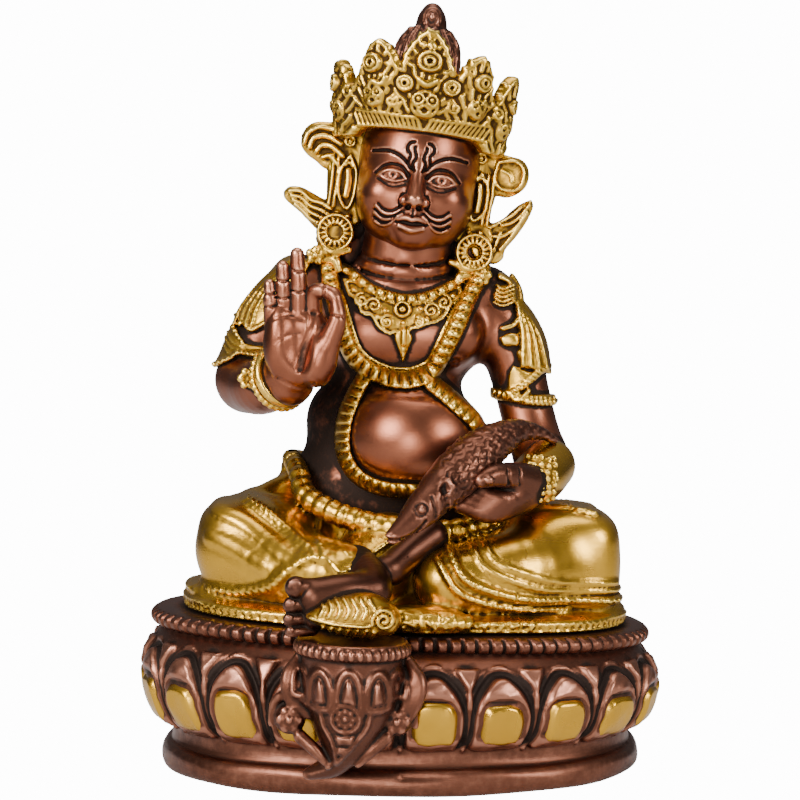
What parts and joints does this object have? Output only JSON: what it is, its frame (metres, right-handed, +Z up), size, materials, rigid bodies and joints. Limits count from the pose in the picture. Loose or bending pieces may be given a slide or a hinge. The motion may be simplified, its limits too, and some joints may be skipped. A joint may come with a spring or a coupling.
{
  "type": "kubera statue",
  "caption": "Cast brass figure of seated Kubera holding a mongoose, crowned and jewelled, with a foot on a lotus footrest of its oval lotus pedestal.",
  "frame": {"origin": "middle of the pedestal's footprint, on its flat underside, not counting the footrest", "axes": "+Z up along the statue's height, the figure faces -Y, +X is on the viewer's right when the figure faces the viewer"},
  "size_m": [0.1428, 0.1156, 0.2044],
  "materials": {
    "figure_brass": "copper-brown antiqued skin with polished golden crown, jewels and garment",
    "pedestal_brass": "copper-brown antiqued with dark recesses and polished golden petal faces"
  },
  "bodies": {
    "root": {"figure": "figure_brass", "lotus_pedestal": "pedestal_brass"}
  },
  "joints": []
}
